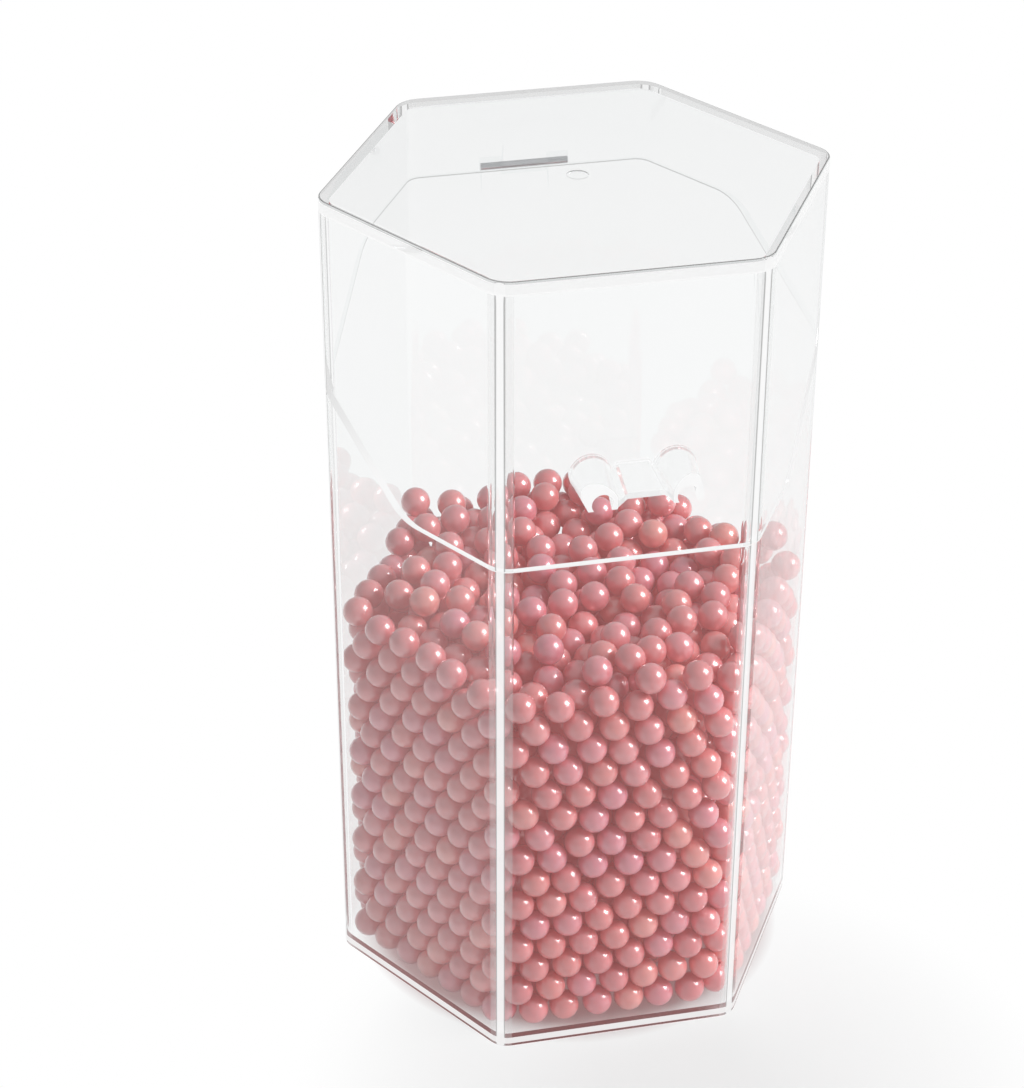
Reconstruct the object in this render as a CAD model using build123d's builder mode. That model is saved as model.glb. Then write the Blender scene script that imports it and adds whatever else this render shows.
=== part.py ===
from build123d import *
import math
import os

# Hexagonal clear brush holder: a base cup filled with loose pearls, and a hood
# that flips back on a hinge behind. Millimetres. Z is up, the front faces -Y and
# the origin is at the centre of the foot.

# ---------------------------------------------------------------- driving sizes
top_side = 66.0  # outer side of the hexagon at the very top
foot_narrowing = 2.2  # how much shorter the sides are at the foot
height = 224.0
corner_radius = 5.5  # outer radius of the upright edges, at the foot
wall = 2.6
floor_thickness = 3.2
top_thickness = 4.0
rim_round = 0.5  # rounding of the outer edge of the foot and of the top

seam_low = 146.0  # height of the cup's front rim
seam_high = 200.0  # height of the cup's back rim
seam_front_bend = -25.5  # Y where the rim starts to climb
seam_back_bend = 26.0  # Y where the rim is level again
seam_bend_radius = 11.0
seam_gap = 0.3  # upright gap between the cup's rim and the hood's

gate_diameter = 5.5  # shallow moulding mark in the middle of the top
gate_depth = 0.4

knuckle_radius = 2.6
knuckle_clearance = 0.3  # knuckle to the wall that turns past it
pin_diameter = 2.0
pin_clearance = 0.05  # radial
hood_knuckle_length = 12.0
cup_knuckle_length = 5.5
knuckle_side_gap = 0.3
lug_reach = 8.0  # how far a lug runs along the wall, away from the pin

pull_height = 172.0  # height of the pull's two round feet
pull_foot_spacing = 21.0
pull_foot_radius = 5.2
pull_foot_thickness = 1.2
pull_tip_radius = 3.9
pull_reach = 13.5  # how far the pull stands out of the front
pull_drop = 1.8  # how far its tip hangs below its feet
pull_shell = 1.2
pull_leg = 1.6  # how far the arches' legs run below their middle
bridge_thickness = 1.5
bridge_rise = 2.4  # flat of the bridge above the middle of the feet
bridge_foot_flat = 7.6  # width of the flat between the two slopes, at the feet
bridge_tip_flat = 9.1  # and at the tip

pearl_diameter = 8.0
pearl_gap = 0.06
pearl_level = 114.0  # height that the pearls reach at the axis
pearl_rise = 0.05  # how much higher they reach for each mm to the back
pearl_wave = 3.0  # their level's rise and fall above and below that
pearl_wave_length = 46.0
pearl_top_depth = 15.0  # the bed that the top pearls lie on, below the level
wall_place_spacing = 1.1  # between the places tried along the walls
top_place_spacing = 1.2  # between the places tried across the top
place_unevenness = 0.4  # how far places stray, as a share of their spacing

# ------------------------------------------------------------- worked out sizes
half_angle = math.radians(30)
bottom_side = top_side - foot_narrowing
draft = math.degrees(math.atan(foot_narrowing * math.cos(half_angle) / height))
cutter_reach = 2 * top_side


def side_at(z):
    """Outer side of the hexagon at a height."""
    return bottom_side + foot_narrowing * z / height


def apothem_at(z):
    """Distance from the axis to the outer face at a height."""
    return side_at(z) * math.cos(half_angle)


def closed_box():
    """The whole hollow box, from which the cup and the hood are cut."""
    with BuildSketch(Plane.XY) as foot:
        RegularPolygon(bottom_side, 6)
        fillet(foot.vertices(), corner_radius)
    extrude(foot.sketch, amount=height, taper=-draft)
    with BuildSketch(Plane.XY.offset(floor_thickness)) as cavity:
        RegularPolygon(side_at(floor_thickness) - wall / math.cos(half_angle), 6)
        fillet(cavity.vertices(), corner_radius - wall)
    cavity_height = height - floor_thickness - top_thickness
    extrude(cavity.sketch, amount=cavity_height, taper=-draft, mode=Mode.SUBTRACT)


def cut_at_seam(lift, limit):
    """Removes all that lies between the seam, moved up by lift, and a height."""
    with BuildSketch(Plane.YZ) as removed:
        with BuildLine():
            seam = FilletPolyline(
                (-cutter_reach, seam_low + lift),
                (seam_front_bend, seam_low + lift),
                (seam_back_bend, seam_high + lift),
                (cutter_reach, seam_high + lift),
                radius=seam_bend_radius,
            )
            Polyline(seam @ 1, (cutter_reach, limit), (-cutter_reach, limit), seam @ 0)
        make_face()
    extrude(removed.sketch, amount=cutter_reach, both=True, mode=Mode.SUBTRACT)


# ------------------------------------------------------------------- the hinge
hinge_height = seam_high + seam_gap / 2
hinge_y = apothem_at(seam_high + lug_reach) + knuckle_radius + knuckle_clearance
pin_length = hood_knuckle_length + 2 * (knuckle_side_gap + cup_knuckle_length)
cup_knuckle_x = hood_knuckle_length / 2 + knuckle_side_gap + cup_knuckle_length / 2


def hinge_lug(middle, length, way):
    """A knuckle and the web that joins it to the wall, below (-1) or above (+1)."""
    wall_y = hinge_y - knuckle_radius - knuckle_clearance - wall / 2
    web_end = hinge_height + way * lug_reach
    web_start = hinge_height + way * (knuckle_clearance + seam_gap)
    with BuildSketch(Plane.YZ.offset(middle - length / 2)) as outline:
        with Locations((hinge_y, hinge_height)):
            Circle(knuckle_radius)
        with BuildLine():
            Polyline(
                (wall_y, web_start),
                (hinge_y, hinge_height),
                (hinge_y + knuckle_radius, hinge_height),
                (wall_y + wall / 2, web_end),
                (wall_y, web_end),
                close=True,
            )
        make_face()
    extrude(outline.sketch, amount=length)


def pin_bore():
    """The bore for the hinge pin, through every knuckle."""
    with BuildSketch(Plane.YZ.offset(-pin_length)) as bore:
        with Locations((hinge_y, hinge_height)):
            Circle(pin_diameter / 2 + pin_clearance)
    extrude(bore.sketch, amount=2 * pin_length, mode=Mode.SUBTRACT)


# -------------------------------------------------------------------- base cup
with BuildPart() as base_cup:
    closed_box()
    fillet(base_cup.faces().sort_by(Axis.Z)[0].outer_wire().edges(), rim_round)
    cut_at_seam(0, 2 * height)
    for side in (-1, 1):
        hinge_lug(side * cup_knuckle_x, cup_knuckle_length, -1)
    pin_bore()

# ------------------------------------------------------------------ hood cover
with BuildPart() as hood_cover:
    closed_box()
    fillet(hood_cover.faces().sort_by(Axis.Z)[-1].outer_wire().edges(), rim_round)
    with BuildSketch(Plane.XY.offset(height)):
        Circle(gate_diameter / 2)
    extrude(amount=-gate_depth, mode=Mode.SUBTRACT)
    cut_at_seam(seam_gap, -height)
    hinge_lug(0, hood_knuckle_length, 1)
    pin_bore()

# ------------------------------------------------------------------- hinge pin
with BuildPart() as hinge_pin:
    with BuildSketch(Plane.YZ.offset(-pin_length / 2)):
        with Locations((hinge_y, hinge_height)):
            Circle(pin_diameter / 2)
    extrude(amount=pin_length)

# ------------------------------------------------------------------ front pull
pull_face = apothem_at(pull_height + pull_foot_radius)
pull_tip_height = pull_height - pull_drop
foot_x = pull_foot_spacing / 2


def arch_loft(x, inset, mode):
    """A cone from a round foot to the pull's tip, inset all round."""
    with BuildSketch(Plane.XZ.offset(pull_face)) as foot:
        with Locations((x, pull_height)):
            Circle(pull_foot_radius - inset)
    with BuildSketch(Plane.XZ.offset(pull_face + pull_reach)) as tip:
        with Locations((x, pull_tip_height)):
            Circle(pull_tip_radius - inset)
    loft([foot.sketch, tip.sketch], mode=mode)


def bridge_outline(middle_z, arch_radius, flat):
    """The bridge's section between the two arches: a flat with two slopes."""
    root_x = foot_x - arch_radius + pull_shell / 2
    top = middle_z + bridge_rise
    with BuildLine() as outline:
        Polyline(
            (-root_x, middle_z),
            (-flat / 2, top),
            (flat / 2, top),
            (root_x, middle_z),
            (root_x, middle_z - bridge_thickness),
            (flat / 2, top - bridge_thickness),
            (-flat / 2, top - bridge_thickness),
            (-root_x, middle_z - bridge_thickness),
            close=True,
        )
    make_face(outline.edges())


with BuildPart() as front_pull:
    for side in (-1, 1):
        arch_loft(side * foot_x, 0, Mode.ADD)
    for side in (-1, 1):
        arch_loft(side * foot_x, pull_shell, Mode.SUBTRACT)
    with BuildSketch(Plane.YZ):
        with BuildLine():
            Polyline(
                (-pull_face, pull_height - pull_leg),
                (-pull_face - pull_reach, pull_tip_height - pull_leg),
                (-pull_face - pull_reach, pull_tip_height - 2 * pull_foot_radius),
                (-pull_face, pull_height - 2 * pull_foot_radius),
                close=True,
            )
        make_face()
    extrude(amount=cutter_reach, both=True, mode=Mode.SUBTRACT)
    with BuildSketch(Plane.XZ.offset(pull_face)):
        bridge_outline(pull_height, pull_foot_radius, bridge_foot_flat)
    with BuildSketch(Plane.XZ.offset(pull_face + pull_reach)):
        bridge_outline(pull_tip_height, pull_tip_radius, bridge_tip_flat)
    loft()
    with BuildSketch(Plane.XZ.offset(pull_face)):
        with Locations((-foot_x, pull_height), (foot_x, pull_height)):
            Circle(pull_foot_radius)
    extrude(amount=pull_foot_thickness)

# ---------------------------------------------------------------------- pearls
pitch = pearl_diameter + pearl_gap


def wall_place(side_index, along, z):
    """Centre of a pearl that touches a wall, at a distance from the wall's middle."""
    out = apothem_at(z) - wall - pearl_gap - pearl_diameter / 2
    facing = math.radians(30 + 60 * side_index)
    x = out * math.cos(facing) - along * math.sin(facing)
    y = out * math.sin(facing) + along * math.cos(facing)
    return x, y


def rest_height(x, y, bed, pearls):
    """Height at which a pearl dropped at a place comes to rest on the others."""
    z = bed
    for other in pearls:
        across = (other[0] - x) ** 2 + (other[1] - y) ** 2
        if across < pitch**2:
            z = max(z, other[2] + math.sqrt(pitch**2 - across))
    return z


def settle(places, beds, limits, pearls):
    """Drops pearls one by one where each comes to rest lowest, up to the limits."""
    placed = []
    heights = [rest_height(x, y, bed, pearls) for (x, y), bed in zip(places, beds)]
    while True:
        room = [(z, index) for index, z in enumerate(heights) if z < limits[index]]
        if not room:
            return placed
        z, lowest = min(room)
        x, y = places[lowest]
        placed.append((x, y, z, lowest))
        for index, (px, py) in enumerate(places):
            if abs(px - x) < pitch and abs(py - y) < pitch:
                heights[index] = max(heights[index], rest_height(px, py, beds[index], [(x, y, z)]))


def stray(step):
    """How far a place lies off its even spacing, as a share of it."""
    return place_unevenness * math.sin(step * step)


def level_at(x, y):
    """The height that the pearls reach at a place."""
    turn = 2 * math.pi / pearl_wave_length
    wave = math.sin(x * turn + 1) * math.cos(y * turn - 0.5)
    return pearl_level + pearl_rise * y + pearl_wave * wave


def core_top_at(y):
    """Height of the sloping top of the pearl core."""
    return pearl_level + pearl_rise * y - pearl_top_depth


bed_height = floor_thickness + pearl_gap + pearl_diameter / 2
ring_out = apothem_at(0) - wall - pearl_gap - pearl_diameter / 2
ring_side = 2 * math.tan(half_angle) * ring_out
core_out = ring_out - pitch + pearl_diameter / 2

ring_places = []
ring_keys = []
place_count = int(ring_side / wall_place_spacing)
for side_index in range(6):
    for step in range(place_count):
        strayed = step + 0.5 + stray(step + side_index * place_count)
        along = strayed * wall_place_spacing - ring_side / 2
        ring_keys.append((side_index, along))
        ring_places.append(wall_place(side_index, along, 0))
ring_beds = [bed_height for place in ring_places]
ring_limits = [level_at(x, y) - pearl_diameter / 2 for x, y in ring_places]

wall_pearls = [[] for side_index in range(6)]
for x, y, z, place in settle(ring_places, ring_beds, ring_limits, []):
    side_index, along = ring_keys[place]
    wall_pearls[side_index].append((*wall_place(side_index, along, z), z))
all_wall_pearls = [pearl for group in wall_pearls for pearl in group]

top_places = []
grid_count = int(2 * core_out / top_place_spacing) + 1
for row in range(grid_count):
    for column in range(grid_count):
        x = (column - (grid_count - 1) / 2 + stray(column + 3 * row)) * top_place_spacing
        y = (row - (grid_count - 1) / 2 + stray(row + 5 * column)) * top_place_spacing
        reach = max(abs(y), abs(y) / 2 + abs(x) * math.cos(half_angle))
        if reach < core_out:
            top_places.append((x, y))
top_beds = [core_top_at(y) + pearl_gap + pearl_diameter / 2 for x, y in top_places]
top_limits = [level_at(x, y) - pearl_diameter / 2 for x, y in top_places]
top_pearls = settle(top_places, top_beds, top_limits, all_wall_pearls)


def pearl_group(pearls):
    """Separate round pearls at their resting places."""
    with BuildPart() as group:
        with Locations(*[(pearl[0], pearl[1], pearl[2]) for pearl in pearls]):
            Sphere(pearl_diameter / 2)
    return group


with BuildPart() as pearl_core:
    with BuildSketch(Plane.XY.offset(floor_thickness)):
        RegularPolygon(core_out, 6, major_radius=False)
    extrude(amount=height)
    with BuildSketch(Plane.YZ):
        with BuildLine():
            Polyline(
                (-cutter_reach, core_top_at(-cutter_reach)),
                (cutter_reach, core_top_at(cutter_reach)),
                (cutter_reach, 2 * height),
                (-cutter_reach, 2 * height),
                close=True,
            )
        make_face()
    extrude(amount=cutter_reach, both=True, mode=Mode.SUBTRACT)

# ---------------------------------------------------------------------- export
pieces = {
    "base_cup": base_cup,
    "hood_cover": hood_cover,
    "hinge_pin": hinge_pin,
    "front_pull": front_pull,
    "pearl_core": pearl_core,
    "pearls_back_right": pearl_group(wall_pearls[0]),
    "pearls_back": pearl_group(wall_pearls[1]),
    "pearls_back_left": pearl_group(wall_pearls[2]),
    "pearls_front_left": pearl_group(wall_pearls[3]),
    "pearls_front": pearl_group(wall_pearls[4]),
    "pearls_front_right": pearl_group(wall_pearls[5]),
    "pearls_top": pearl_group(top_pearls),
}
os.makedirs("parts", exist_ok=True)
for name, piece in pieces.items():
    piece.part.label = name
    export_step(piece.part, f"parts/{name}.step")
print("pearls along the walls", len(all_wall_pearls), "and on top", len(top_pearls))
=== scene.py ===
import bpy
import math
import random
import numpy as np
from mathutils import Matrix, Vector


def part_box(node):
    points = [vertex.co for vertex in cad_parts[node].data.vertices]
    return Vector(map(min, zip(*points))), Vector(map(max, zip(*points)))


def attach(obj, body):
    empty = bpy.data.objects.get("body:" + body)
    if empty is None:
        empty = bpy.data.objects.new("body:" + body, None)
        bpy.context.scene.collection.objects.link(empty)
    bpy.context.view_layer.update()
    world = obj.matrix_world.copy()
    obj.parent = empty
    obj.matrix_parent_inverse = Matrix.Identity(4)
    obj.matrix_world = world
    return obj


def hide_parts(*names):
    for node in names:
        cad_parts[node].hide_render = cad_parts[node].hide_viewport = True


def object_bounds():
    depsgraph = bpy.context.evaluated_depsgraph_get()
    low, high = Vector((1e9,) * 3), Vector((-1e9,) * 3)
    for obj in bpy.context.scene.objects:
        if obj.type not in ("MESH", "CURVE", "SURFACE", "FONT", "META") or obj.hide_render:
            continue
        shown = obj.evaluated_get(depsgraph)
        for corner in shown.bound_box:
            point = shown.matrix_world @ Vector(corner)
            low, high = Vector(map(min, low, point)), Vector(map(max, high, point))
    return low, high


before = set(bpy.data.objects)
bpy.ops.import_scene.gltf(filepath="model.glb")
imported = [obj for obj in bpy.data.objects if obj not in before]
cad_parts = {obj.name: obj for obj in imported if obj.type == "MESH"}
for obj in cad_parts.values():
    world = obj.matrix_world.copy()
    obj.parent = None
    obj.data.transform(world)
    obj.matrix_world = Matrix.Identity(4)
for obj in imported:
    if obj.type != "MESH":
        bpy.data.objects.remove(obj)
cad_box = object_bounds()

MM = 0.001

# ------------------------------------------------------------------ the camera
# The camera's place was worked out from the hexagon's corners in the photograph.
IMAGE_WIDTH = 1024
FOCAL_PIXELS = 3250.0
SENSOR_WIDTH = 36.0
CAMERA_AZIMUTH = math.radians(-13.06)
CAMERA_ELEVATION = math.radians(29.88)
CAMERA_ROLL = math.radians(0.24)
CAMERA_DISTANCE = 0.854
AIM_RIGHT = -0.0158
AIM_HEIGHT = 0.1188


def add_camera():
    """Places the camera at the photograph's viewing angle."""
    back = Vector((
        math.sin(CAMERA_AZIMUTH) * math.cos(CAMERA_ELEVATION),
        -math.cos(CAMERA_AZIMUTH) * math.cos(CAMERA_ELEVATION),
        math.sin(CAMERA_ELEVATION),
    ))
    right = Vector((math.cos(CAMERA_AZIMUTH), math.sin(CAMERA_AZIMUTH), 0))
    up = back.cross(right)
    aim = right * AIM_RIGHT + Vector((0, 0, AIM_HEIGHT))
    rolled_right = right * math.cos(CAMERA_ROLL) + up * math.sin(CAMERA_ROLL)
    rolled_up = up * math.cos(CAMERA_ROLL) - right * math.sin(CAMERA_ROLL)
    lens = bpy.data.cameras.new("camera")
    lens.sensor_fit = "HORIZONTAL"
    lens.sensor_width = SENSOR_WIDTH
    lens.lens = SENSOR_WIDTH * FOCAL_PIXELS / IMAGE_WIDTH
    lens.clip_start = 0.01
    camera = bpy.data.objects.new("camera", lens)
    axes = Matrix((rolled_right, rolled_up, back)).transposed().to_4x4()
    camera.matrix_world = Matrix.Translation(aim + back * CAMERA_DISTANCE) @ axes
    bpy.context.scene.collection.objects.link(camera)
    bpy.context.scene.camera = camera


# ------------------------------------------------------------------- materials
def new_material(name):
    """A new material, with its node tree, its Principled shader and its output."""
    material = bpy.data.materials.new(name)
    material.use_nodes = True
    tree = material.node_tree
    shader = next(n for n in tree.nodes if n.type == "BSDF_PRINCIPLED")
    output = next(n for n in tree.nodes if n.type == "OUTPUT_MATERIAL")
    return material, tree, shader, output


def noise(tree, scale, detail=3.0):
    """A noise texture on the object's own coordinates."""
    place = tree.nodes.new("ShaderNodeTexCoord")
    texture = tree.nodes.new("ShaderNodeTexNoise")
    texture.inputs["Scale"].default_value = scale
    texture.inputs["Detail"].default_value = detail
    tree.links.new(place.outputs["Object"], texture.inputs["Vector"])
    return texture


def grey(level):
    """A colour without any tint."""
    return (level, level, level)


def ramp(tree, source, stops):
    """A colour ramp through the given places and colours."""
    node = tree.nodes.new("ShaderNodeValToRGB")
    node.color_ramp.elements[0].position = stops[0][0]
    node.color_ramp.elements[0].color = (*stops[0][1], 1)
    node.color_ramp.elements[1].position = stops[-1][0]
    node.color_ramp.elements[1].color = (*stops[-1][1], 1)
    for position, colour in stops[1:-1]:
        node.color_ramp.elements.new(position).color = (*colour, 1)
    tree.links.new(source, node.inputs["Fac"])
    return node


def feed(tree, value, socket):
    """Sets an input socket to a number, or links another socket to it."""
    if isinstance(value, (int, float)):
        socket.default_value = value
    else:
        tree.links.new(value, socket)


def calculate(tree, operation, first, second=0.0):
    """The result of a Math node on two sockets or numbers."""
    node = tree.nodes.new("ShaderNodeMath")
    node.operation = operation
    feed(tree, first, node.inputs[0])
    feed(tree, second, node.inputs[1])
    return node.outputs["Value"]


def mix_colours(tree, kind, share, first, second):
    """The colour that a Mix node makes of two others."""
    node = tree.nodes.new("ShaderNodeMix")
    node.data_type = "RGBA"
    node.blend_type = kind
    feed(tree, share, node.inputs["Factor"])
    tree.links.new(first, node.inputs["A"])
    tree.links.new(second, node.inputs["B"])
    return node.outputs["Result"]


def mix_shaders(tree, share, first, second):
    """The shader that a Mix Shader node makes of two others."""
    node = tree.nodes.new("ShaderNodeMixShader")
    feed(tree, share, node.inputs["Fac"])
    tree.links.new(first, node.inputs[1])
    tree.links.new(second, node.inputs[2])
    return node.outputs["Shader"]


def bump(tree, source, strength, distance):
    """A bump node fed by a height."""
    node = tree.nodes.new("ShaderNodeBump")
    node.inputs["Strength"].default_value = strength
    node.inputs["Distance"].default_value = distance
    tree.links.new(source, node.inputs["Height"])
    return node


# A ray that has met more surfaces than this passes straight on.
TRAPPED_DEPTH = 2
# Thick clear edges catch the light, and here that light is painted: white bands of painted
# highlight lie along the upright edges and round both rims, with a painted grey outline, and
# painted grey shade lies by the corners. Their depth is counted inwards from the line where a
# corner stands out furthest.
FOOT_HEIGHT = 20 * MM
EDGE_DEPTH = 0.13 * MM
EDGE_OUTLINE = 0.38
EDGE_HIDES = 0.9
CORNER_DEPTH = 0.8 * MM
CORNER_HIDES = 0.22
RIMS = ((1.0 * MM, 2.9 * MM), (220.3 * MM, 223.4 * MM))
RIM_HIDES = 0.85
# Heights of the top plate's sides, painted grey as shade where they are seen from inside, and of
# the painted dark line of shade round its upper edge. The seam is the level face between these
# heights, clear of the hinge and the pull, and is painted with light and shade: white in front,
# grey behind.
TOP_SIDE = (220.3 * MM, 223.9 * MM)
TOP_LINE = (223.85 * MM, 223.995 * MM)
SEAM_HEIGHTS = (140 * MM, 205 * MM)
SEAM_REACH = 57.5 * MM
SEAM_TURNS_GREY = (40 * MM, 80 * MM)
# A face that points up or down more than this is level.
LEVEL_TILT = 0.4
# Levels of grey of the painted light and shade, from white to black.
EDGE_WHITE = 0.95
CORNER_GREY = 0.72
SIDE_GREY = 0.7
SEAM_GREY = 0.49
OUTLINE_GREY = 0.45
LINE_GREY = 0.28
# The share of white in the pull's milky plastic, painted as a glow that shows whatever light
# falls.
PULL_MILK = 0.3


def largest(tree, values):
    """The largest of several sockets or numbers."""
    total = 0.0
    for value in values:
        total = calculate(tree, "MAXIMUM", total, value)
    return total


def between(tree, value, low, high):
    """One where a value lies between two limits, and nothing elsewhere."""
    above = calculate(tree, "GREATER_THAN", value, low)
    return calculate(tree, "MULTIPLY", above, calculate(tree, "LESS_THAN", value, high))


def split_up(tree, vector):
    """The three parts of a vector socket."""
    node = tree.nodes.new("ShaderNodeSeparateXYZ")
    tree.links.new(vector, node.inputs["Vector"])
    return node.outputs["X"], node.outputs["Y"], node.outputs["Z"]


def corner_line():
    """Where an upright edge stands from the axis at the foot, and how much it leans out."""
    ends = []
    for node, highest in (("base_cup", FOOT_HEIGHT), ("hood_cover", math.inf)):
        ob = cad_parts[node]
        points = [ob.matrix_world @ vertex.co for vertex in ob.data.vertices]
        ends.append(max((p for p in points if p.z < highest), key=lambda p: p.x))
    foot, top = ends
    lean = (top.x - foot.x) / (top.z - foot.z)
    return foot.x - lean * foot.z, lean


def corner_depth(tree, x, y, z):
    """How far inside the nearest upright edge's outermost line a place lies."""
    out = []
    for angle in (0, 60, 120):
        along_x = calculate(tree, "MULTIPLY", x, math.cos(math.radians(angle)))
        along_y = calculate(tree, "MULTIPLY", y, math.sin(math.radians(angle)))
        out.append(calculate(tree, "ABSOLUTE", calculate(tree, "ADD", along_x, along_y)))
    foot, lean = corner_line()
    edge = calculate(tree, "ADD", calculate(tree, "MULTIPLY", z, lean), foot)
    return calculate(tree, "SUBTRACT", edge, largest(tree, out))


def edge_look(tree, milk):
    """How far edges, rims and milky plastic hide what is behind them, and their colour.

    White edges are painted highlights with a grey outline. From inside the top plate its sides
    are painted grey as shade, a painted dark line of shade runs round its upper edge, and the seam
    is painted white in front as light and grey behind as shade.
    """
    place = tree.nodes.new("ShaderNodeTexCoord")
    x, y, z = split_up(tree, place.outputs["Object"])
    tilt = calculate(tree, "ABSOLUTE", split_up(tree, place.outputs["Normal"])[2])
    level = calculate(tree, "GREATER_THAN", tilt, LEVEL_TILT)
    upright = calculate(tree, "SUBTRACT", 1.0, level)
    depth = corner_depth(tree, x, y, z)
    share = calculate(tree, "SUBTRACT", 1.0, calculate(tree, "DIVIDE", depth, EDGE_DEPTH))
    clamp = tree.nodes.new("ShaderNodeClamp")
    tree.links.new(share, clamp.inputs["Value"])
    near = clamp.outputs["Result"]
    on_edge = calculate(tree, "GREATER_THAN", near, 0.0)
    on_corner = calculate(tree, "LESS_THAN", depth, CORNER_DEPTH)
    rim = largest(tree, [between(tree, z, *limits) for limits in RIMS])

    geometry = tree.nodes.new("ShaderNodeNewGeometry")
    inside = calculate(tree, "MULTIPLY", upright, geometry.outputs["Backfacing"])
    inside = calculate(tree, "MULTIPLY", inside, between(tree, z, *TOP_SIDE))
    line = between(tree, z, *TOP_LINE)
    seam = between(tree, y, -SEAM_REACH, SEAM_REACH)
    seam = calculate(tree, "MULTIPLY", seam, between(tree, z, *SEAM_HEIGHTS))
    seam = calculate(tree, "MULTIPLY", seam, level)
    # Where painted shade and the seam's painted light go.
    painted_shade_and_seam = largest(tree, [inside, line, seam])

    amount = largest(tree, [
        calculate(tree, "MULTIPLY", largest(tree, [on_edge, painted_shade_and_seam]), EDGE_HIDES),
        calculate(tree, "MULTIPLY", rim, RIM_HIDES),
        calculate(tree, "MULTIPLY", on_corner, CORNER_HIDES),
        milk,
    ])
    # Painted highlight: white bands with a grey outline along the edges and rims, painted grey
    # shade by the corners; milky plastic takes the white.
    painted_edge_light = ramp(tree, largest(tree, [near, rim, 1.0 if milk else 0.0]), [
        (0.0, grey(CORNER_GREY)), (0.02, grey(OUTLINE_GREY)),
        (EDGE_OUTLINE, grey(OUTLINE_GREY)), (EDGE_OUTLINE + 0.08, grey(EDGE_WHITE)),
    ])
    # Painted shade: grey sides of the top plate seen from inside, and a darker line round its
    # upper edge.
    painted_top_shade = ramp(tree, line, [(0.4, grey(SIDE_GREY)), (0.6, grey(LINE_GREY))])
    white_end, grey_end = SEAM_TURNS_GREY
    # Painted light on the seam: white in front, turning to grey shade behind.
    painted_seam_light = ramp(tree, calculate(tree, "ADD", y, SEAM_REACH),
                     [(white_end, grey(EDGE_WHITE)), (grey_end, grey(SEAM_GREY))])
    colour = mix_colours(tree, "MIX", painted_shade_and_seam, painted_edge_light.outputs["Color"], painted_top_shade.outputs["Color"])
    return amount, mix_colours(tree, "MIX", seam, colour, painted_seam_light.outputs["Color"])


def clear_plastic(name, milk=0.0):
    """Moulded clear plastic with faint flow waves, a share of painted white glow in it, and
    painted light and shade on its edges, rims, top plate and seam.

    Lamps reach what is inside, and light that keeps bouncing in a wall gets out.
    """
    material, tree, shader, output = new_material(name)
    material.cycles.emission_sampling = "NONE"
    shader.inputs["Transmission Weight"].default_value = 1.0
    shader.inputs["IOR"].default_value = 1.5
    tint = ramp(tree, noise(tree, 9).outputs["Fac"],
                [(0.3, (0.965, 0.97, 0.97)), (0.7, grey(0.98))])
    tree.links.new(tint.outputs["Color"], shader.inputs["Base Color"])
    gloss = ramp(tree, noise(tree, 60).outputs["Fac"],
                 [(0.35, grey(0.0)), (0.75, grey(0.0035))])
    tree.links.new(gloss.outputs["Color"], shader.inputs["Roughness"])
    flow = bump(tree, noise(tree, 14, 1.0).outputs["Fac"], 0.05, 2 * MM)
    tree.links.new(flow.outputs["Normal"], shader.inputs["Normal"])
    amount, colour = edge_look(tree, milk)
    # The painted light and shade glow as emission, whatever light falls on them.
    lit = tree.nodes.new("ShaderNodeEmission")
    tree.links.new(colour, lit.inputs["Color"])
    edged = mix_shaders(tree, amount, shader.outputs["BSDF"], lit.outputs["Emission"])
    path = tree.nodes.new("ShaderNodeLightPath")
    trapped = calculate(tree, "GREATER_THAN", path.outputs["Ray Depth"], TRAPPED_DEPTH)
    passing = calculate(tree, "MAXIMUM", path.outputs["Is Shadow Ray"], trapped)
    through = tree.nodes.new("ShaderNodeBsdfTransparent")
    through.inputs["Color"].default_value = (0.975, 0.98, 0.98, 1)
    mixed = mix_shaders(tree, passing, edged, through.outputs["BSDF"])
    tree.links.new(mixed, output.inputs["Surface"])
    return material


# How brightly the pearls pass on the light that comes through their neighbours.
SCATTERED_GLOW = 0.065


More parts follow.
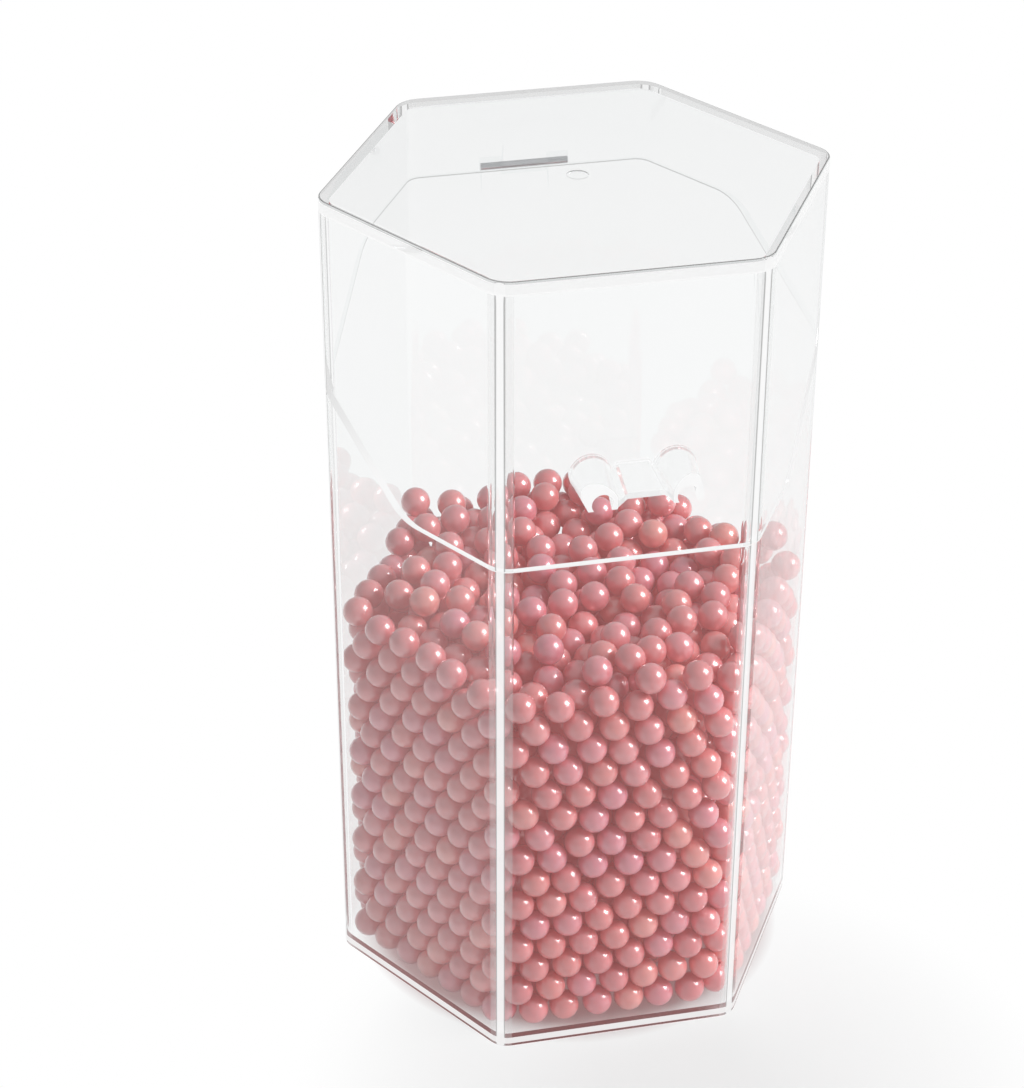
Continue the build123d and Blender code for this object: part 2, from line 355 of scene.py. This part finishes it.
def pearl_material():
    """Pearlescent rose: each pearl a shade of its own under a glossy nacre coat.

    The faint glow stands for the light that the translucent pearls pass on to each other.
    """
    material, tree, shader, _ = new_material("nacre_pearl")
    material.cycles.emission_sampling = "NONE"
    geometry = tree.nodes.new("ShaderNodeNewGeometry")
    shade = ramp(tree, geometry.outputs["Random Per Island"],
                 [(0.0, (0.72, 0.23, 0.25)), (0.4, (0.80, 0.28, 0.27)),
                  (0.75, (0.76, 0.28, 0.34)), (1.0, (0.86, 0.35, 0.31))])
    nacre = noise(tree, 90, 4.0)
    nacre.inputs["Distortion"].default_value = 1.5
    swirl = ramp(tree, nacre.outputs["Fac"],
                 [(0.35, (0.92, 0.88, 0.9)), (0.65, grey(1.0))])
    skin = mix_colours(tree, "MULTIPLY", 1.0, shade.outputs["Color"], swirl.outputs["Color"])
    tree.links.new(skin, shader.inputs["Base Color"])
    fine = bump(tree, noise(tree, 500, 2.0).outputs["Fac"], 0.04, 0.3 * MM)
    tree.links.new(fine.outputs["Normal"], shader.inputs["Normal"])
    shader.inputs["Roughness"].default_value = 0.35
    shader.inputs["Metallic"].default_value = 0.1
    shader.inputs["Coat Weight"].default_value = 1.0
    shader.inputs["Coat Roughness"].default_value = 0.13
    shader.inputs["Coat IOR"].default_value = 1.8
    shader.inputs["Sheen Weight"].default_value = 0.1
    shader.inputs["Sheen Roughness"].default_value = 0.35
    shader.inputs["Sheen Tint"].default_value = (1.0, 0.86, 0.88, 1)
    shader.inputs["Emission Color"].default_value = (1.0, 0.17, 0.15, 1)
    shader.inputs["Emission Strength"].default_value = SCATTERED_GLOW
    shader.inputs["Subsurface Weight"].default_value = 0.7
    shader.inputs["Subsurface Radius"].default_value = (1.0, 0.4, 0.38)
    shader.inputs["Subsurface Scale"].default_value = 3 * MM
    return material


def steel_material():
    """Drawn steel of the hinge pin, with fine lines along it."""
    material, tree, shader, _ = new_material("pin_steel")
    lines = noise(tree, 300)
    stretch = tree.nodes.new("ShaderNodeMapping")
    stretch.inputs["Scale"].default_value = (0.05, 1, 1)
    place = lines.inputs["Vector"].links[0].from_socket
    tree.links.new(place, stretch.inputs["Vector"])
    tree.links.new(stretch.outputs["Vector"], lines.inputs["Vector"])
    colour = ramp(tree, lines.outputs["Fac"],
                  [(0.3, (0.5, 0.5, 0.52)), (0.7, (0.62, 0.62, 0.64))])
    tree.links.new(colour.outputs["Color"], shader.inputs["Base Color"])
    shader.inputs["Metallic"].default_value = 1.0
    shader.inputs["Roughness"].default_value = 0.3
    return material


def dress(node, material):
    """Gives a CAD node's object a material in all its slots."""
    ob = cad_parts[node]
    if not ob.material_slots:
        ob.data.materials.append(material)
    for slot in ob.material_slots:
        slot.material = material


# ---------------------------------------------------------------------- pearls
# The outermost pearls lie where the CAD's pearls lie. Behind them the cup is filled
# with more, dropped one by one, each of which rolls to where others hold it.
PEARL_RADIUS = 4.0 * MM
PEARL_GAP = 0.05 * MM
# The heights are kept on a square grid that reaches a little past the walls.
GRID_PITCH = 0.9 * MM
GRID_REACH = 1.2
SEED = 7
# The lowest of this many tries is used, and so many drops above the bed end the filling.
TRIES = 6
DROPS_WITHOUT_ROOM = 80
# Only inner pearls that could show are kept: this near to a wall, to the top or to the
# floor, and clear of the outer ones.
INNER_DEPTH = 16 * MM
CLEARANCE = 1.95 * PEARL_RADIUS
# The bed rises towards the back by this much.
CORE_SLOPE = 0.05
# Rings from pole to pole, and corners around each ring.
OUTER_FINENESS = (14, 22)
INNER_FINENESS = (9, 13)
SIDES = {
    "pearls_back_right": 30, "pearls_back": 90, "pearls_back_left": 150,
    "pearls_front_left": 210, "pearls_front": 270, "pearls_front_right": 330,
}
SIDE_NORMALS = [(math.cos(math.radians(a)), math.sin(math.radians(a))) for a in SIDES.values()]


def pearls_of(node):
    """Centres of the separate round pearls in a CAD node."""
    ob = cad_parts[node]
    points = np.array([ob.matrix_world @ vertex.co for vertex in ob.data.vertices])
    order = np.arange(len(points))
    edges = np.array([edge.vertices[:] for edge in ob.data.edges])
    while True:
        lowest = np.minimum(order[edges[:, 0]], order[edges[:, 1]])
        before = order.copy()
        np.minimum.at(order, edges[:, 0], lowest)
        np.minimum.at(order, edges[:, 1], lowest)
        order = order[order]
        if np.array_equal(before, order):
            break
    groups = [points[order == first] for first in np.unique(order)]
    return np.array([(group.max(axis=0) + group.min(axis=0)) / 2 for group in groups])


def reach(x, y):
    """How far out a place lies, measured square to the nearest wall."""
    return np.max([x * n[0] + y * n[1] for n in SIDE_NORMALS], axis=0)


def roll_down(heights, i, j):
    """Follows the heights from a place down to the nearest hollow."""
    while True:
        block = heights[i - 1:i + 2, j - 1:j + 2]
        step = int(np.argmin(block))
        if block.flat[step] >= heights[i, j]:
            return i, j
        i += step // 3 - 1
        j += step % 3 - 1


def fill_inside(limit, floor, level, slope):
    """Centres of pearls that fill the cup as far out as the limit."""
    chance = random.Random(SEED)
    line = np.arange(-limit * GRID_REACH, limit * GRID_REACH, GRID_PITCH)
    x, y = np.meshgrid(line, line, indexing="ij")
    inside = reach(x, y) < limit
    heights = np.where(inside, floor + PEARL_RADIUS, np.inf)
    starts = np.argwhere(inside)
    apart = 2 * PEARL_RADIUS + PEARL_GAP
    span = int(apart / GRID_PITCH) + 2
    pearls = []
    misses = 0
    while misses < DROPS_WITHOUT_ROOM:
        drops = [starts[chance.randrange(len(starts))] for _ in range(TRIES)]
        tries = [roll_down(heights, *drop) for drop in drops]
        i, j = min(tries, key=lambda place: heights[place])
        px, py, pz = float(x[i, j]), float(y[i, j]), float(heights[i, j])
        if pz > level + slope * py - PEARL_RADIUS:
            misses += 1
            continue
        pearls.append((px, py, pz))
        near = tuple(slice(max(at - span, 0), at + span + 1) for at in (i, j))
        across = (x[near] - px) ** 2 + (y[near] - py) ** 2
        lift = pz + np.sqrt(np.maximum(apart**2 - across, 0))
        close = (across < apart**2) & inside[near]
        heights[near] = np.where(close, np.maximum(heights[near], lift), heights[near])
    return np.array(pearls)


def ball_mesh(rings, around):
    """Points and faces of one round pearl at the origin."""
    points = [(0, 0, 1)]
    for ring in range(1, rings):
        tilt = math.pi * ring / rings
        out, up = math.sin(tilt), math.cos(tilt)
        for step in range(around):
            turn = 2 * math.pi * step / around
            points.append((out * math.cos(turn), out * math.sin(turn), up))
    points.append((0, 0, -1))
    faces = []
    for step in range(around):
        ahead = (step + 1) % around
        faces.append((0, 1 + step, 1 + ahead))
        for ring in range(rings - 2):
            a, b = 1 + ring * around, 1 + (ring + 1) * around
            faces.append((a + step, b + step, b + ahead, a + ahead))
        last = 1 + (rings - 2) * around
        faces.append((last + ahead, last + step, len(points) - 1))
    return np.array(points), faces


def pearl_piece(node, centres, chance, material, fineness):
    """One piece of many pearls, each turned its own way, that stands for a CAD node."""
    ball, ball_faces = ball_mesh(*fineness)
    points = []
    faces = []
    for centre in centres:
        axis = Vector([chance.gauss(0, 1) for _ in range(3)]).normalized()
        turn = np.array(Matrix.Rotation(chance.uniform(0, math.pi), 3, axis))
        start = len(points) * len(ball)
        points.append(ball @ turn.T * PEARL_RADIUS + centre)
        faces += [tuple(start + corner for corner in face) for face in ball_faces]
    mesh = bpy.data.meshes.new(node + "_shown")
    mesh.from_pydata(np.concatenate(points).tolist(), [], faces)
    mesh.polygons.foreach_set("use_smooth", [True] * len(mesh.polygons))
    piece = bpy.data.objects.new(node + "_shown", mesh)
    bpy.context.scene.collection.objects.link(piece)
    mesh.materials.append(material)
    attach(piece, "cup")
    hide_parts(node)


def add_pearls(material):
    """Makes the pearls that show, and those behind them that show through the gaps."""
    chance = random.Random(SEED + 1)
    outer = []
    for node in [*SIDES, "pearls_top"]:
        centres = pearls_of(node)
        outer.append(centres)
        pearl_piece(node, centres, chance, material, OUTER_FINENESS)
    outer = np.concatenate(outer)
    core_low, core_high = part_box("pearl_core")
    limit = core_high[1] - PEARL_RADIUS / 2
    level = core_high[2] - CORE_SLOPE * core_high[1]
    inner = fill_inside(limit, core_low[2], level + PEARL_RADIUS, CORE_SLOPE)
    gaps = np.array([np.min(np.linalg.norm(outer - pearl, axis=1)) for pearl in inner])
    depths = [
        limit - reach(inner[:, 0], inner[:, 1]),
        level + CORE_SLOPE * inner[:, 1] - inner[:, 2],
        inner[:, 2] - core_low[2],
    ]
    shows = np.min(depths, axis=0) < INNER_DEPTH
    pearl_piece("pearl_core", inner[(gaps > CLEARANCE) & shows], chance, material, INNER_FINENESS)


# ----------------------------------------------------------------------- stage
FLOOR_RADIUS = 4.0
FLOOR_CORNERS = 64
FLOOR_DROP = 0.2 * MM
# How white the floor looks by itself, whatever light falls on it: less near the place in front of
# the foot than further away, with a painted shadow a little darker there, and a dark rose painted
# shadow under the cup.
FRONT_SHADE = (10 * MM, -85 * MM, 0)
FRONT_PAINTED_SHADOW = 0.84
GLOW_NEAR = 0.74
GLOW_FAR = 1.0
UNDER_PAINTED_SHADOW = (0.35, 0.17, 0.17)
UNDER_REACH = (50 * MM, 57 * MM)
# How much of that whiteness shows in reflections, and in those of the floor's left part.
GLOSS_SHARE = 0.5
GLOSS_SHARE_LEFT = 1.0
LAMP_AIM = Vector((0, 0, 110 * MM))
KEY_DIRECTION = Vector((0.756, -0.325, 0.568))
KEY_DISTANCE = 1.0
KEY_SIZE = 0.5
KEY_POWER = 10.0
DOME_STRENGTH = 0.29


def shows_behind(tree, gloss_share):
    """How far a ray sees the white by itself: through glass fully, in reflections less."""
    path = tree.nodes.new("ShaderNodeLightPath")
    gloss = calculate(tree, "MULTIPLY", path.outputs["Is Glossy Ray"], gloss_share)
    clear = [path.outputs["Is Camera Ray"], path.outputs["Is Transmission Ray"]]
    return largest(tree, [*clear, gloss])


def add_floor():
    """A plain white floor that keeps the object's soft shadow, with painted shadows in front of
    the foot and under the cup.
    """
    material, tree, shader, output = new_material("floor")
    colour = ramp(tree, noise(tree, 3).outputs["Fac"],
                  [(0.3, grey(0.92)), (0.7, grey(0.94))])
    tree.links.new(colour.outputs["Color"], shader.inputs["Base Color"])
    shader.inputs["Roughness"].default_value = 0.8
    shader.inputs["Specular IOR Level"].default_value = 0.2
    glow = tree.nodes.new("ShaderNodeEmission")
    glow.inputs["Strength"].default_value = 1.0
    place = tree.nodes.new("ShaderNodeTexCoord")
    from_front, from_middle = [tree.nodes.new("ShaderNodeVectorMath") for _ in range(2)]
    for away, centre in ((from_front, FRONT_SHADE), (from_middle, (0, 0, 0))):
        away.operation = "DISTANCE"
        away.inputs[1].default_value = centre
        tree.links.new(place.outputs["Object"], away.inputs[0])
    near = ramp(tree, from_front.outputs["Value"],
                [(30 * MM, grey(GLOW_NEAR)), (90 * MM, grey(GLOW_FAR))])
    # Painted shadow: the floor's glow a little darker in front of the foot.
    pale = ramp(tree, from_front.outputs["Value"],
                [(20 * MM, grey(FRONT_PAINTED_SHADOW)), (100 * MM, grey(1.0))])
    # Painted shadow: a dark rose under the cup.
    foot, past_foot = UNDER_REACH
    under = ramp(tree, from_middle.outputs["Value"],
                 [(foot, UNDER_PAINTED_SHADOW), (past_foot, grey(1.0))])
    shaded = mix_colours(tree, "MULTIPLY", 1.0, pale.outputs["Color"], under.outputs["Color"])
    tree.links.new(shaded, glow.inputs["Color"])
    leftward = calculate(tree, "MULTIPLY", split_up(tree, place.outputs["Object"])[0], -1.0)
    gloss = ramp(tree, leftward, [(20 * MM, grey(GLOSS_SHARE)), (80 * MM, grey(GLOSS_SHARE_LEFT))])
    seen = shows_behind(tree, gloss.outputs["Color"])
    share = calculate(tree, "MULTIPLY", near.outputs["Color"], seen)
    mixed = mix_shaders(tree, share, shader.outputs["BSDF"], glow.outputs["Emission"])
    tree.links.new(mixed, output.inputs["Surface"])
    mesh = bpy.data.meshes.new("floor")
    corners = [(math.cos(a) * FLOOR_RADIUS, math.sin(a) * FLOOR_RADIUS, 0)
               for a in np.linspace(0, 2 * math.pi, FLOOR_CORNERS, endpoint=False)]
    mesh.from_pydata(corners, [], [tuple(range(FLOOR_CORNERS))])
    mesh.materials.append(material)
    floor = bpy.data.objects.new("floor", mesh)
    floor.location.z = cad_box[0][2] - FLOOR_DROP
    bpy.context.scene.collection.objects.link(floor)


def add_lamp(name, direction, distance, size, power):
    """A square soft lamp that points at the middle of the object."""
    lamp = bpy.data.lights.new(name, "AREA")
    lamp.size = size
    lamp.energy = power
    ob = bpy.data.objects.new(name, lamp)
    ob.location = LAMP_AIM + direction.normalized() * distance
    ob.rotation_euler = direction.to_track_quat("Z", "Y").to_euler()
    bpy.context.scene.collection.objects.link(ob)


def add_world():
    """White to the camera, a pale grey dome to the light and the reflections."""
    world = bpy.data.worlds.new("studio")
    bpy.context.scene.world = world
    world.use_nodes = True
    tree = world.node_tree
    dome = tree.nodes["Background"]
    dome.inputs["Strength"].default_value = DOME_STRENGTH
    white = tree.nodes.new("ShaderNodeBackground")
    white.inputs["Strength"].default_value = 1.0
    white.inputs["Color"].default_value = (1, 1, 1, 1)
    place = tree.nodes.new("ShaderNodeTexCoord")
    sky = ramp(tree, split_up(tree, place.outputs["Generated"])[2],
               [(0.0, grey(0.9)), (0.55, (0.7, 0.7, 0.72)), (1.0, grey(1.0))])
    tree.links.new(sky.outputs["Color"], dome.inputs["Color"])
    mixed = mix_shaders(tree, shows_behind(tree, GLOSS_SHARE),
                        dome.outputs["Background"], white.outputs["Background"])
    tree.links.new(mixed, tree.nodes["World Output"].inputs["Surface"])


# ------------------------------------------------------------------------ make
add_camera()
plastic = clear_plastic("clear_plastic")
for node in ("base_cup", "hood_cover"):
    dress(node, plastic)
dress("front_pull", clear_plastic("milky_plastic", PULL_MILK))
dress("hinge_pin", steel_material())
add_pearls(pearl_material())
add_floor()
add_lamp("key", KEY_DIRECTION, KEY_DISTANCE, KEY_SIZE, KEY_POWER)
add_world()
bpy.context.scene.view_settings.view_transform = "Standard"
